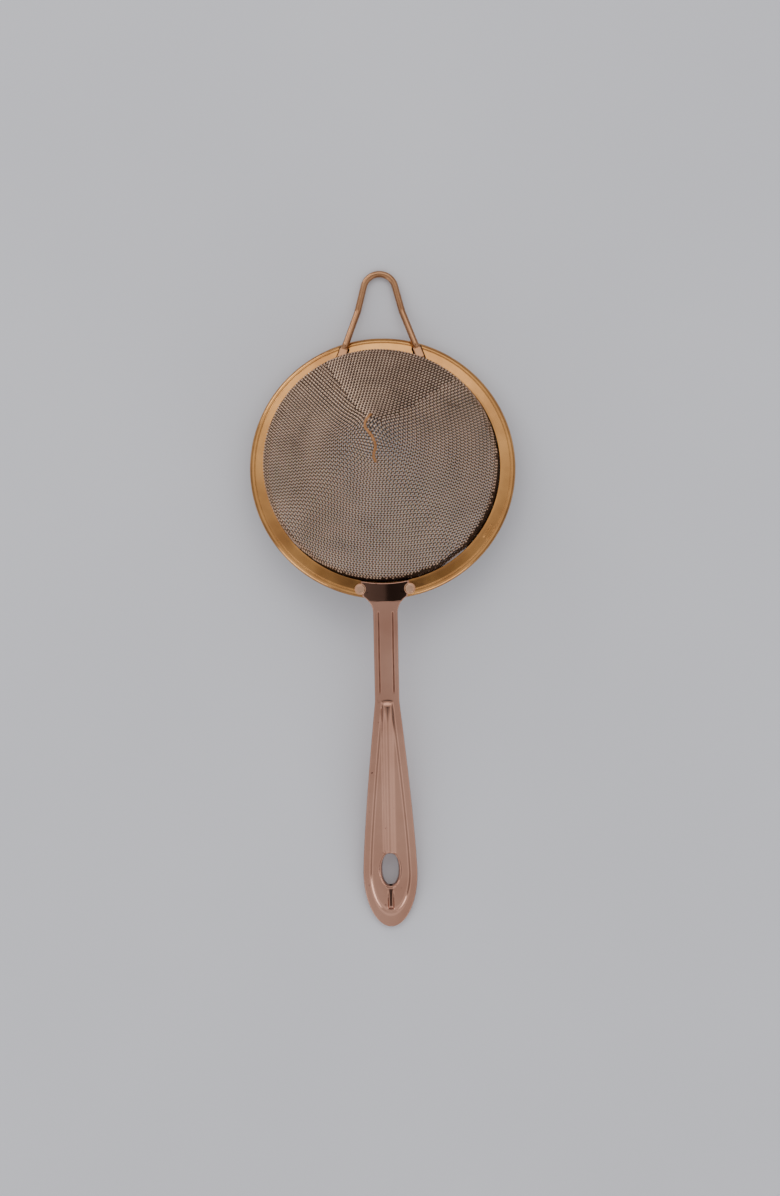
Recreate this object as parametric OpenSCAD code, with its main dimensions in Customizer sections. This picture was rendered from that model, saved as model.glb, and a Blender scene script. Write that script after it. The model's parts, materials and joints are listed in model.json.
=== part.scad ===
// Conical fine-mesh bar strainer, modelled as it rests: open side down,
// nose of the mesh up, handle along -Y, rest loop towards +Y.
// Ring coordinates: x across, u towards the loop, w towards the mesh nose,
// with u = w = 0 at the centre of the rim's open-side face.

/* [Rim] */
// Outside diameter of the rim
rim_d = 89; // [80:0.5:100]
// Diameter of the mesh opening inside the flange
opening_d = 78.3; // [72:0.1:79]
// Fall of the flange from its inner edge outwards, in degrees
flange_slope = 10; // [6:0.5:14]
// Outer radius of the rolled edge
curl_r = 1.7; // [1.4:0.05:1.9]
// Thickness of the rim sheet
rim_sheet = 0.6; // [0.5:0.05:0.8]

/* [Mesh] */
// Height of the nose above the rim's open-side face
mesh_h = 49.6; // [40:0.2:56]
// Radius of the rounded nose
nose_r = 8.5; // [6:0.5:12]
// Radius of the shoulder between collar and cone
shoulder_r = 4; // [2:0.5:6]
// Height where the upright collar turns into the shoulder
collar_h = 6; // [5:0.25:8]
// Thickness of the shell that stands for the woven wire
mesh_t = 0.5; // [0.4:0.05:0.7]

/* [Handle] */
// Length of the handle past its bend line
grip_len = 111.4; // [100:0.2:125]
// Greatest width of the grip
grip_w = 18.3; // [15:0.1:20]
// Width of the neck
neck_w = 8.2; // [7:0.1:9]
// Width of the head where it meets the mesh opening
head_w = 16.1; // [14:0.1:18]
// Length of the head on the flange, up to the bend line
head_len = 6.4; // [6:0.1:7]
// Angle of the bend between head and neck, in degrees
bend = 8.6; // [7:0.1:10]
// Thickness of the handle sheet
handle_t = 1.5; // [1.2:0.1:1.8]
// Height of the raised panel above the border
panel_rise = 0.7; // [0.4:0.1:0.9]
// Width of the plain border round the panel
border_w = 2.35; // [2:0.05:2.8]
// Width of the central rib
rib_w = 3.4; // [3:0.1:4]
// Height of the rib above the panel
rib_rise = 1; // [0.6:0.1:1.2]

/* [Hanging hole] */
// Clear width of the oval hole
hole_w = 5.4; // [4.8:0.1:6]
// Clear length of the oval hole
hole_l = 10.8; // [10:0.1:12]
// Distance of the hole's centre from the bend line
hole_s = 91.3; // [88:0.1:94]
// Width of the rolled lip round the hole
lip_w = 0.85; // [0.6:0.05:1.1]

/* [Rest loop] */
// Diameter of the loop wire
wire_d = 2.25; // [2:0.05:2.5]
// Radius of the loop's bight, on the wire's centre line
bight_r = 5.4; // [5:0.1:6]
// Distance of the bight's wire centre from the ring centre
loop_u = 66.4; // [64:0.1:70]
// Distance of the kink line from the ring centre
kink_u = 53.6; // [52:0.1:55]
// Half the distance between the legs at the kink
kink_x = 7.5; // [7.2:0.1:7.8]
// Angle that the wire turns back up at the kink, in degrees
kink = 15; // [10:0.5:18]
// Half the distance between the two tabs
tab_x = 12.8; // [12:0.1:13.5]
// Distance of the tabs' centres from the ring centre
tab_u = 38.7; // [38:0.1:39.5]
// Width of a flattened tab
tab_w = 2.7; // [2.4:0.1:3.2]
// Length of a flattened tab
tab_l = 4.6; // [4:0.1:5]
// Thickness of a flattened tab
tab_t = 1.3; // [1:0.05:1.5]

/* [Welds] */
// Diameter of a weld nugget at the head's corner
weld_d = 3.7; // [3:0.1:4]
// Half the distance between the two nuggets
weld_x = 8.2; // [8:0.1:8.6]
// Distance of a nugget from the head's inner edge
weld_s = 2.2; // [1.8:0.1:2.6]

/* [Hidden] */
$fn = 96;

// Small overlap where two shapes of one piece are joined
join = 0.02;

// Rim section: curl centre, flange inner edge and the open-side land
land_cut = 0.15;
curl_lap = 0.3;
curl_c = [rim_d / 2 - curl_r, curl_r - land_cut];
opening_r = opening_d / 2;
flange_out = curl_c + curl_r * [sin(flange_slope), cos(flange_slope)];
flange_w0 = flange_out[1] + (flange_out[0] - opening_r) * tan(flange_slope);
collar_low = 0.9;

// Mesh profile: a common tangent joins the shoulder arc to the nose arc
mesh_r = opening_r;
shoulder_c = [mesh_r - shoulder_r, collar_h];
nose_c = [0, mesh_h - nose_r];
arc_gap = norm(nose_c - shoulder_c);
cone_normal = atan2(shoulder_c[0], nose_c[1] - shoulder_c[1]) - asin((nose_r - shoulder_r) / arc_gap);
mesh_low = 1;

// Clamp ring that presses the mesh against the rim's collar
clamp_t = 0.6;
clamp_low = 0.5;
clamp_high = 3.9;

// Grip stations, measured from the bend line towards the tip
taper_s = 34;
widest_s = 92.7;
panel_start = 35;
panel_end = 106.9;
tail_rib_start = 99.3;
tail_rib_end = 104.5;
taper_power = 1.3;
head_taper = 0.12;
fillet_r = 6.5;
fillet_end = 4.1;
bend_lap = 0.06;
steps = 20;

// Engraved border lines on the neck
line_x = 2.35;
line_w = 0.35;
line_depth = 0.2;
line_from = 3.7;
line_to = 30.9;

// How far a nugget stands above the head
weld_rise = 0.1;

// Loop wire: the inner legs follow the flange, the outer legs turn back up;
// the straight legs are thinner than the bight and the kinks by leg_seat
leg_seat = 0.05;
wire_r = wire_d / 2;
loop_drop = 0.24;
outer_pitch = kink - flange_slope;
kink_w = flange_w0 - loop_drop - (kink_u - opening_r) * tan(flange_slope) + wire_r / cos(flange_slope);
bight_s = (loop_u - kink_u) / cos(outer_pitch) - bight_r;
bight_gap = norm([kink_x, bight_s]);
outer_splay = atan2(kink_x, bight_s) - asin(bight_r / bight_gap);
outer_leg = sqrt(bight_gap * bight_gap - bight_r * bight_r);
tab_s = (kink_u - tab_u) / cos(flange_slope);
inner_splay = atan2(tab_x - kink_x, tab_s);
inner_leg = norm([tab_x - kink_x, tab_s]) - tab_l / 2;

// Rest pose: the line from the handle's tip to the loop's bight lies on the table
function turned(p, a) = [p[0] * cos(a) - p[1] * sin(a), p[0] * sin(a) + p[1] * cos(a)];
bend_uw = [-opening_r, flange_w0] + turned([-head_len, handle_t], flange_slope);
tip_uw = bend_uw + turned([-grip_len, -handle_t], flange_slope + bend);
bight_uw = [loop_u, kink_w + (loop_u - kink_u) * tan(outer_pitch)];
reach = bight_uw - tip_uw;
rest_tilt = atan2(reach[1], reach[0]) - asin(wire_r / norm(reach));
ring_z = -turned(tip_uw, -rest_tilt)[1];
far_y = turned(bight_uw, -rest_tilt)[0] + wire_r;
near_y = turned(tip_uw, -rest_tilt)[0] - handle_t * sin(flange_slope + bend - rest_tilt);
ring_y = -(far_y + near_y) / 2;

// Half the handle's width at distance s past the bend line; the head has s below zero
function fillet_half_w(s) =
    neck_w / 2 + fillet_r - sqrt(fillet_r * fillet_r - pow(min(fillet_r, fillet_end - s), 2));
function half_w(s) =
    s < fillet_end ? min(head_w / 2 - head_taper * (s + head_len), fillet_half_w(s)) :
    s < taper_s ? neck_w / 2 :
    s < widest_s ? neck_w / 2 + (grip_w - neck_w) / 2
        * (1 - pow(1 - (s - taper_s) / (widest_s - taper_s), taper_power)) :
    grip_w / 2 * sqrt(max(0, 1 - pow((s - widest_s) / (grip_len - widest_s), 2)));

// Half the raised panel's width: the border stays plain all round it
function panel_half_w(s) =
    s < widest_s ? half_w(s) - border_w :
    (grip_w / 2 - border_w) * sqrt(max(0, 1 - pow((s - widest_s) / (panel_end - widest_s), 2)));

// Stations along a length with a round end: evenly spaced, then closing in on the end
function stations(from, wide, end) = concat(
    [for (i = [0 : steps]) from + (wide - from) * i / steps],
    [for (i = [1 : steps]) wide + (end - wide) * sin(90 * i / steps)]);

// Places a child given in ring coordinates into the rest pose
module resting() {
    translate([0, ring_y, ring_z]) rotate([-rest_tilt, 0, 0]) children();
}

// Places a child on the head's plane: y up the flange, z off its face
module on_head() {
    translate([0, -opening_r, flange_w0]) rotate([flange_slope, 0, 0]) children();
}

// Places a child on the grip's plane: -y towards the tip, z = 0 on the underside
module on_grip() {
    on_head() translate([0, -head_len, handle_t]) rotate([bend, 0, 0]) translate([0, 0, -handle_t]) children();
}

// Smooth oval of two end arcs and two side arcs, true arcs throughout
module oval(w, l) {
    a = w / 2;
    b = l / 2;
    end_r = a * 2 / 3;
    end_y = b - end_r;
    side_r = (a * a + end_y * end_y - end_r * end_r) / (2 * (a - end_r));
    meet_y = side_r * end_y / (side_r - end_r);
    for (side = [-1, 1]) translate([0, side * end_y]) circle(end_r);
    intersection() {
        translate([side_r - a, 0]) circle(side_r);
        translate([a - side_r, 0]) circle(side_r);
        square([w, 2 * meet_y], center = true);
    }
}

module rim_ring() {
    color("peru") resting() {
        rotate_extrude() polygon([
            [opening_r, collar_low],
            [opening_r, flange_w0],
            flange_out,
            flange_out - (rim_sheet - join) * [sin(flange_slope), cos(flange_slope)],
            [opening_r + rim_sheet, flange_w0 - rim_sheet],
            [opening_r + rim_sheet, collar_low]
        ]);
        // The curl runs from the flange round the outside and under, and stays open inwards
        rotate_extrude() difference() {
            translate(curl_c) circle(curl_r);
            translate(curl_c) circle(curl_r - rim_sheet);
            translate([opening_r, -curl_r]) square([curl_c[0] - curl_lap - opening_r, 4 * curl_r]);
            translate([opening_r, -curl_r]) square([rim_d / 2, curl_r]);
        }
    }
}

module mesh_clamp_ring() {
    inner_r = mesh_r - mesh_t - clamp_t;
    color("rosybrown") resting() rotate_extrude() {
        translate([inner_r, clamp_low + clamp_t / 2]) square([clamp_t, clamp_high - clamp_low - clamp_t]);
        for (end = [clamp_low + clamp_t / 2, clamp_high - clamp_t / 2])
            translate([inner_r + clamp_t / 2, end]) circle(clamp_t / 2);
    }
}

// Solid under the mesh surface, moved inwards by inset and open below low
module mesh_body(inset, low) {
    out = [cos(cone_normal), sin(cone_normal)];
    shoulder_end = shoulder_c + (shoulder_r - inset) * out;
    nose_start = nose_c + (nose_r - inset) * out;
    rotate_extrude() intersection() {
        union() {
            polygon([
                [0, low], [mesh_r - inset, low], [mesh_r - inset, collar_h],
                shoulder_end, nose_start, [0, nose_start[1]]
            ]);
            translate(shoulder_c) circle(shoulder_r - inset);
            translate(nose_c) circle(nose_r - inset);
        }
        translate([0, low]) square([mesh_r, mesh_h]);
    }
}

module mesh_cone() {
    color("tan") resting() difference() {
        mesh_body(0, mesh_low);
        mesh_body(mesh_t, mesh_low - 1);
    }
}

// Both sides of a shape from its half widths at the stations in s_list
function both_sides(s_list, half) = concat(
    [for (i = [0 : len(s_list) - 1]) [half[i], -s_list[i]]],
    [for (i = [len(s_list) - 1 : -1 : 0]) if (half[i] > 0) [-half[i], -s_list[i]]]);

// Head from its inner edge to the bend line, seen square on
module head_outline() {
    s_list = [for (i = [0 : steps]) -head_len - 1 + (head_len + 1 + bend_lap) * i / steps];
    polygon(both_sides(s_list, [for (s = s_list) half_w(s)]));
}

// Neck and grip from the bend line to the tip
module grip_outline() {
    fillet_list = [for (i = [0 : steps - 1]) fillet_end * i / steps];
    s_list = concat(fillet_list, [fillet_end], stations(taper_s, widest_s, grip_len));
    polygon(both_sides(s_list, [for (s = s_list) half_w(s)]));
}

// Raised panel, made smaller all round by inset
module panel_outline(inset) {
    s_list = stations(panel_start + inset, widest_s, panel_end - inset);
    polygon(both_sides(s_list, [for (s = s_list) max(0, panel_half_w(s) - inset)]));
}

// Part of a round bar that stands above the sheet's middle, as a section; wide runs over both sides
module bar_section(bar_r, top, wide) {
    low = handle_t - panel_rise / 2;
    intersection() {
        translate([0, top - bar_r]) circle(bar_r);
        translate([wide ? -bar_r : 0, low]) square([wide ? 2 * bar_r : bar_r, top - low + join]);
    }
}

// Round-backed bar along the grip's centre line, with a domed end towards the neck
module rib_bar(from, to, top, width, rise) {
    bar_r = (width * width / 4 + rise * rise) / (2 * rise);
    translate([0, -from, 0]) {
        rotate([90, 0, 0]) linear_extrude(to - from) bar_section(bar_r, top, true);
        rotate_extrude() bar_section(bar_r - join, top - join, false);
    }
}

module handle() {
    panel_top = handle_t + panel_rise;
    rib_end = hole_s - hole_l / 2;
    lip_top = panel_top + rib_rise / 2;
    color("rosybrown") resting() difference() {
        union() {
            difference() {
                on_head() translate([0, -head_len, 0]) linear_extrude(handle_t) head_outline();
                cylinder(r = opening_r + 0.2, h = mesh_h, center = true);
            }
            on_grip() {
                linear_extrude(handle_t) grip_outline();
                translate([0, 0, handle_t - join]) linear_extrude(panel_rise + join) panel_outline(0);
                rib_bar(panel_start + rib_w / 2, rib_end, panel_top + rib_rise, rib_w, rib_rise);
                rib_bar(tail_rib_start, tail_rib_end, panel_top + rib_rise / 2, rib_w / 2, rib_rise / 2);
                translate([0, -hole_s, 0]) linear_extrude(lip_top) oval(hole_w + 2 * lip_w, hole_l + 2 * lip_w);
            }
        }
        // Pressed hollow behind the panel, clear of the hole's drawn wall
        on_grip() difference() {
            translate([0, 0, -join]) linear_extrude(panel_rise + join) panel_outline(1);
            translate([0, -hole_s, -1]) linear_extrude(handle_t + 1) oval(hole_w + 2 * lip_w, hole_l + 2 * lip_w);
        }
        on_grip() translate([0, -hole_s, -1]) linear_extrude(handle_t + 4) oval(hole_w, hole_l);
        // Engraved lines along both sides of the neck
        on_grip() for (side = [-1, 1])
            translate([side * line_x - line_w / 2, -line_to, handle_t - line_depth])
                cube([line_w, line_to - line_from, 1]);
        on_head() weld_nuggets(1);
    }
}

// The two nuggets, or with below > 0 the notches that they fill in the head's corners
module weld_nuggets(below) {
    for (side = [-1, 1])
        translate([side * weld_x, -weld_s, -below]) cylinder(d = weld_d, h = handle_t + weld_rise + 2 * below);
}

module handle_welds() {
    color("tan") resting() on_head() weld_nuggets(0);
}

// One straight leg, lying along y from the origin
module leg(length, splay) {
    rotate([0, 0, splay]) rotate([-90, 0, 0]) cylinder(r = wire_r - leg_seat, h = length + leg_seat);
}

module rest_loop() {
    color("peru") resting() translate([0, kink_u, kink_w]) {
        rotate([outer_pitch, 0, 0]) {
            for (side = [-1, 1]) translate([side * kink_x, 0, 0]) leg(outer_leg, side * outer_splay);
            translate([0, bight_s, 0]) rotate([0, 0, outer_splay])
                rotate_extrude(angle = 180 - 2 * outer_splay) translate([bight_r, 0]) circle(wire_r);
        }
        rotate([-flange_slope, 0, 0]) for (side = [-1, 1]) translate([side * kink_x, 0, 0]) {
            sphere(wire_r + leg_seat);
            leg(inner_leg, 180 + side * inner_splay);
            rotate([0, 0, 180 + side * inner_splay])
                translate([-tab_w / 2, inner_leg, -wire_r]) cube([tab_w, tab_l, tab_t]);
        }
    }
}

rim_ring();
mesh_clamp_ring();
mesh_cone();
handle();
handle_welds();
rest_loop();
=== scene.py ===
import json
from math import asin, atan2, cos, hypot, pi, radians, sin, tan

import bmesh
import bpy
import numpy as np
from mathutils import Matrix, Vector

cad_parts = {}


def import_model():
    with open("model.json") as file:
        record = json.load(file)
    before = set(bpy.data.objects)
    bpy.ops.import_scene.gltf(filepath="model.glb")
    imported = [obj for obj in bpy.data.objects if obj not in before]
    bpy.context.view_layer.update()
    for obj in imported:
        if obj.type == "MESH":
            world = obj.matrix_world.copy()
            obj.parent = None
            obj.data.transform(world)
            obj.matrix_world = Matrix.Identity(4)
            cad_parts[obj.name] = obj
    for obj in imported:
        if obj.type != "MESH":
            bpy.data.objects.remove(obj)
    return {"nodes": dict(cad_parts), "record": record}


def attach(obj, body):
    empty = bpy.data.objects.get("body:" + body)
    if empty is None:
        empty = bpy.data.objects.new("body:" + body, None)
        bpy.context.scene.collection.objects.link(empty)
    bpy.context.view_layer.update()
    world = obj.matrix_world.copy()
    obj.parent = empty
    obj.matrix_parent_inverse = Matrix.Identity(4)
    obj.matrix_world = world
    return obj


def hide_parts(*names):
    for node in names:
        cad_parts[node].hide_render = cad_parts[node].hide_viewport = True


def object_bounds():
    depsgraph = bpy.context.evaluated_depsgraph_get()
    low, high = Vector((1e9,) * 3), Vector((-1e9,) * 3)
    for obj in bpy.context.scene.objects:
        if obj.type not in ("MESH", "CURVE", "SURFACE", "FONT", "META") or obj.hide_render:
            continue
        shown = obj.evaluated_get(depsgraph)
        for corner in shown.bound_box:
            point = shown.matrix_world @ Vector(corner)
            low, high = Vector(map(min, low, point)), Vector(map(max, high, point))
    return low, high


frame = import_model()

cad_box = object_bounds()
MM = 0.001

# ---- Sizes that repeat part.scad, in millimetres ----
RIM_R = 44.5
OPENING_R = 39.15
FLANGE_SLOPE = radians(10)
CURL_R = 1.7
RIM_SHEET = 0.6
LAND_CUT = 0.15
MESH_H = 49.6
NOSE_R = 8.5
SHOULDER_R = 4.0
COLLAR_H = 6.0
HANDLE_T = 1.5
GRIP_LEN = 111.4
GRIP_W = 18.3
NECK_W = 8.2
HEAD_W = 16.1
HEAD_LEN = 6.4
BEND = radians(8.6)
PANEL_RISE = 0.7
BORDER_W = 2.35
RIB_W = 3.4
RIB_RISE = 1.0
HOLE_W = 5.4
HOLE_L = 10.8
HOLE_S = 91.3
LIP_W = 0.85
TAPER_S = 34.0
WIDEST_S = 92.7
PANEL_START = 35.0
PANEL_END = 106.9
TAPER_POWER = 1.3
HEAD_TAPER = 0.12
FILLET_R = 6.5
FILLET_END = 4.1
WIRE_R = 1.125
BIGHT_R = 5.4
LOOP_U = 66.4
KINK_U = 53.6
KINK_X = 7.5
OUTER_PITCH = radians(5)
LOOP_DROP = 0.24
TAB_X = 12.8
TAB_U = 38.7
TAB_W = 2.7
TAB_L = 4.6
TAB_T = 1.3
WELD_R = 1.85
WELD_X = 8.2
WELD_S = 2.2
LINE_X = 2.35
LINE_FROM = 3.7
LINE_TO = 30.9

CURL_C = (RIM_R - CURL_R, CURL_R - LAND_CUT)
FLANGE_OUT = (CURL_C[0] + CURL_R * sin(FLANGE_SLOPE), CURL_C[1] + CURL_R * cos(FLANGE_SLOPE))
FLANGE_W0 = FLANGE_OUT[1] + (FLANGE_OUT[0] - OPENING_R) * tan(FLANGE_SLOPE)

# Taken off the rim's outside and the loop's width, so that neither leaves the CAD box
TRIM = 0.004

# ---- Frames: the ring's from the rim_face mount, the rest from the sizes above ----
rim_face = next(m for m in frame["record"]["mounts"] if m["name"] == "rim_face")
TILT = asin(-rim_face["axis"][1])
GRIP_PITCH = FLANGE_SLOPE + BEND - TILT
land_mid = Vector(rim_face["pos_m"]) / MM
ring_centre = land_mid - CURL_C[0] * Vector((0, cos(TILT), -sin(TILT)))
RING = Matrix.Translation(ring_centre) @ Matrix.Rotation(-TILT, 4, "X")
HEAD = RING @ Matrix.Translation((0, -OPENING_R, FLANGE_W0)) @ Matrix.Rotation(FLANGE_SLOPE, 4, "X")
GRIP = HEAD @ Matrix.Translation((0, -HEAD_LEN, HANDLE_T)) @ Matrix.Rotation(BEND, 4, "X")


def world(points, place):
    """Points in millimetres in a local frame, as world points in metres."""
    m = np.array(place)
    return (points @ m[:3, :3].T + m[:3, 3]) * MM


def add_piece(name, verts, faces, material, nodes=(), smooth=True):
    """A mesh piece that rides on the body root; verts are in metres."""
    mesh = bpy.data.meshes.new(name)
    mesh.from_pydata(verts.tolist(), [], faces.tolist() if hasattr(faces, "tolist") else faces)
    mesh.update()
    mesh.polygons.foreach_set("use_smooth", [smooth] * len(mesh.polygons))
    obj = bpy.data.objects.new(name, mesh)
    bpy.context.collection.objects.link(obj)
    mesh.materials.append(material)
    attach(obj, "root")
    if nodes:
        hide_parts(*nodes)
    return obj


def smooth_step(x, low, high):
    """From 0 at low to 1 at high, level at both ends."""
    t = np.clip((x - low) / (high - low), 0, 1)
    return t * t * (3 - 2 * t)


# ---- Shapes: grids of quads, arcs and tubes along a path ----
def grid_faces(nu, nv, closed_u=False, closed_v=False, flip=False):
    """Quads of a grid of nu rows and nv columns, each way closed or open."""
    u = np.arange(nu if closed_u else nu - 1)
    v = np.arange(nv if closed_v else nv - 1)
    u, v = np.meshgrid(u, v, indexing="ij")
    u1, v1 = (u + 1) % nu, (v + 1) % nv
    quads = np.stack([u * nv + v, u1 * nv + v, u1 * nv + v1, u * nv + v1], -1).reshape(-1, 4)
    return quads[:, ::-1] if flip else quads


def arc(centre, radius, start, end, count):
    """Points of an arc, angles in degrees from the outward direction."""
    angles = np.radians(np.linspace(start, end, count))
    return np.stack([centre[0] + radius * np.cos(angles), centre[1] + radius * np.sin(angles)], 1)


def close_seams(obj, distance=2e-6):
    """Joins doubled vertices and turns every face outwards."""
    bm = bmesh.new()
    bm.from_mesh(obj.data)
    bmesh.ops.remove_doubles(bm, verts=bm.verts, dist=distance)
    bmesh.ops.dissolve_degenerate(bm, edges=bm.edges, dist=1e-7)
    bmesh.ops.recalc_face_normals(bm, faces=bm.faces)
    bm.to_mesh(obj.data)
    bm.free()


def sweep(path, widths, heights, sides, up, square=None):
    """Vertices of a tube along path; square from 0, round, to 1, flat-sided, at each point."""
    tangent = np.gradient(path, axis=0)
    tangent /= np.linalg.norm(tangent, axis=1, keepdims=True)
    across = np.cross(tangent, up)
    across /= np.linalg.norm(across, axis=1, keepdims=True)
    normal = np.cross(across, tangent)
    angle = np.linspace(0, 2 * pi, sides, endpoint=False)
    c, s = np.cos(angle), np.sin(angle)
    power = 1 if square is None else (1 - 0.72 * square)[:, None]
    cx = np.sign(c) * np.abs(c) ** power
    sx = np.sign(s) * np.abs(s) ** power
    rings = (path[:, None, :] + across[:, None, :] * (cx * widths[:, None])[:, :, None]
             + normal[:, None, :] * (sx * heights[:, None])[:, :, None])
    return rings.reshape(-1, 3)


def tube_faces(rings, sides, start=0):
    """Faces of a tube with closed ends, as lists, for vertices numbered from start."""
    faces = (grid_faces(rings, sides, closed_v=True) + start).tolist()
    faces.append(list(range(start, start + sides)))
    faces.append(list(range(start + (rings - 1) * sides, start + rings * sides))[::-1])
    return faces


def rounded(points, radius, step):
    """Points every step along a polyline whose inner corners are rounded."""
    out = [points[0]]
    for before, corner, after in zip(points, points[1:], points[2:]):
        a = corner + (before - corner) / np.linalg.norm(before - corner) * radius
        b = corner + (after - corner) / np.linalg.norm(after - corner) * radius
        for t in np.linspace(0, 1, 7):
            out.append((1 - t) ** 2 * a + 2 * t * (1 - t) * corner + t * t * b)
    out.append(points[-1])
    out = np.array(out)
    run = np.concatenate([[0], np.cumsum(np.linalg.norm(np.diff(out, axis=0), axis=1))])
    at = np.linspace(0, run[-1], int(run[-1] / step) + 1)
    return np.stack([np.interp(at, run, out[:, k]) for k in range(3)], 1)


# ---- Materials ----
class Shader:
    """A Principled material whose inputs are fed by small node chains in object space."""

    def __init__(self, name, metallic=1.0):
        self.mat = bpy.data.materials.new(name)
        self.mat.use_nodes = True
        self.tree = self.mat.node_tree
        self.tree.nodes.clear()
        self.out = self.add("ShaderNodeOutputMaterial")
        self.bsdf = self.add("ShaderNodeBsdfPrincipled")
        self.bsdf.inputs["Metallic"].default_value = metallic
        self.link(self.bsdf.outputs[0], self.out.inputs["Surface"])
        self.coord = self.add("ShaderNodeTexCoord").outputs["Object"]

    def add(self, kind, **inputs):
        node = self.tree.nodes.new(kind)
        for key, value in inputs.items():
            node.inputs[key].default_value = value
        return node

    def link(self, a, b):
        self.tree.links.new(a, b)

    def scaled(self, scale):
        """Object coordinates with each axis scaled, for grain that runs one way."""
        mapping = self.add("ShaderNodeMapping", Scale=scale)
        self.link(self.coord, mapping.inputs["Vector"])
        return mapping.outputs["Vector"]

    def noise(self, scale, detail=3.0, vector=None, roughness=0.5):
        node = self.add("ShaderNodeTexNoise", Scale=scale, Detail=detail, Roughness=roughness)
        self.link(vector or self.coord, node.inputs["Vector"])
        return node.outputs["Fac"]

    def ramp(self, value, low, high, to_low=0.0, to_high=1.0):
        node = self.add("ShaderNodeMapRange")
        for key, number in (("From Min", low), ("From Max", high), ("To Min", to_low), ("To Max", to_high)):
            node.inputs[key].default_value = number
        self.link(value, node.inputs["Value"])
        return node.outputs["Result"]

    def mix(self, factor, a, b):
        """Colour mix; a and b are sockets or RGB triples."""
        node = self.add("ShaderNodeMix")
        node.data_type = "RGBA"
        self.link(factor, node.inputs["Factor"])
        for socket, value in ((node.inputs[6], a), (node.inputs[7], b)):
            if isinstance(value, tuple):
                socket.default_value = (*value, 1)
            else:
                self.link(value, socket)
        return node.outputs[2]

    def math(self, operation, a, b):
        node = self.tree.nodes.new("ShaderNodeMath")
        node.operation = operation
        for socket, value in zip(node.inputs, (a, b)):
            if isinstance(value, (int, float)):
                socket.default_value = value
            else:
                self.link(value, socket)
        return node.outputs[0]

    def bump(self, height, distance, strength=1.0):
        node = self.add("ShaderNodeBump", Distance=distance, Strength=strength)
        self.link(height, node.inputs["Height"])
        self.link(node.outputs["Normal"], self.bsdf.inputs["Normal"])


EVEN_GRAIN = (2500, 2500, 2500)


def plated(name, tint, deep, rough, patch, brush=EVEN_GRAIN, brush_depth=1e-6, spots=None,
           mirror_past=None):
    """Plated metal: patches of tint and deep, uneven polish, fine grain along brush, tarnish
    specks, and a mirror finish where the piece's Y, in metres, is past mirror_past."""
    s = Shader(name)
    broad = s.noise(patch, detail=4)
    fine = s.noise(patch * 14, detail=2)
    colour = s.mix(s.ramp(broad, 0.35, 0.65), deep, tint)
    uneven = s.math("ADD", broad, s.math("MULTIPLY", fine, 0.5))
    polish = s.ramp(uneven, 0.5, 1.0, rough * 0.8, rough * 1.35)
    if spots:
        speck = s.noise(spots["scale"], detail=5, roughness=0.7)
        where = s.ramp(speck, spots["from"], spots["from"] + 0.035)
        colour = s.mix(where, colour, spots["tint"])
        polish = s.math("ADD", polish, s.math("MULTIPLY", where, 0.25))
    if mirror_past is not None:
        place = s.tree.nodes.new("ShaderNodeSeparateXYZ")
        s.link(s.coord, place.inputs[0])
        duller = s.ramp(place.outputs["Y"], mirror_past, mirror_past + 2e-4, 1.0, 0.3)
        polish = s.math("MULTIPLY", polish, duller)
    s.link(colour, s.bsdf.inputs["Base Color"])
    s.link(polish, s.bsdf.inputs["Roughness"])
    grain = s.noise(1.0, detail=2, vector=s.scaled(brush))
    s.bump(grain, brush_depth)
    return s.mat


TARNISH = {"scale": 420.0, "from": 0.665, "tint": (0.10, 0.04, 0.03)}
WIRE_GRAIN = 4e-7
rim_metal = plated("rim_gold_copper", (0.66, 0.33, 0.11), (0.42, 0.195, 0.065), 0.20,
                   patch=60, brush=(900, 900, 9000), brush_depth=6e-7)
handle_metal = plated("handle_rose_copper", (0.56, 0.305, 0.22), (0.46, 0.235, 0.165), 0.15,
                      patch=50, brush=(5200, 320, 2000), brush_depth=8e-7, spots=TARNISH,
                      mirror_past=-0.0009)
loop_metal = plated("loop_copper", (0.47, 0.245, 0.125), (0.35, 0.17, 0.085), 0.26,
                    patch=90, brush=(5200, 900, 2500), brush_depth=1.5e-7, spots=TARNISH)
weld_metal = plated("weld_pale_copper", (0.86, 0.52, 0.34), (0.74, 0.42, 0.26), 0.28, patch=300)
clamp_metal = plated("clamp_copper", (0.78, 0.54, 0.40), (0.66, 0.42, 0.30), 0.34, patch=60)
# The wire metal is the painted-lit copy used on the crowns; the two darker copies below paint shade onto
# the rest of each wire
wire_metal = plated("woven_wire", (0.90, 0.66, 0.49), (0.78, 0.55, 0.40), 0.33,
                    patch=120, brush_depth=WIRE_GRAIN)
# Painted half shade: a darker copy of the wire metal for the sloping links and for the weft's crowns in the
# fan towards the loop
half_shade_metal = plated("woven_wire_painted_half_shade", (0.20, 0.12, 0.078), (0.13, 0.08, 0.05), 0.38,
                    patch=120, brush_depth=WIRE_GRAIN)
# Painted shade: a dark copy of the wire metal for the dips, undersides, end caps and the band by the rim,
# also used for the painted shadow round the loop's tabs
painted_shade_metal = plated("woven_painted_shade", (0.085, 0.05, 0.032), (0.06, 0.035, 0.022), 0.45,
                   patch=120, brush_depth=WIRE_GRAIN)
seam_metal = plated("seam_tarnish", (0.30, 0.15, 0.10), (0.20, 0.095, 0.065), 0.42, patch=300)
crease_metal = plated("crease_copper", (0.55, 0.28, 0.13), (0.38, 0.18, 0.075), 0.36, patch=300)


# ---- Rim: one revolved section with a groove line, a rolled edge and two small press marks ----
LIP_R = 0.22
GROOVE_R = 42.75
GROOVE_DEPTH = 0.17
GROOVE_HALF = 0.13
MARK_AT = radians(-33)
MARK_HALF_L = 2.35
MARK_HALF_W = 0.17
MARK_DEPTH = 0.20
MARK_RADII = (41.1, 42.5)
RIM_TURNS = 720


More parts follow.
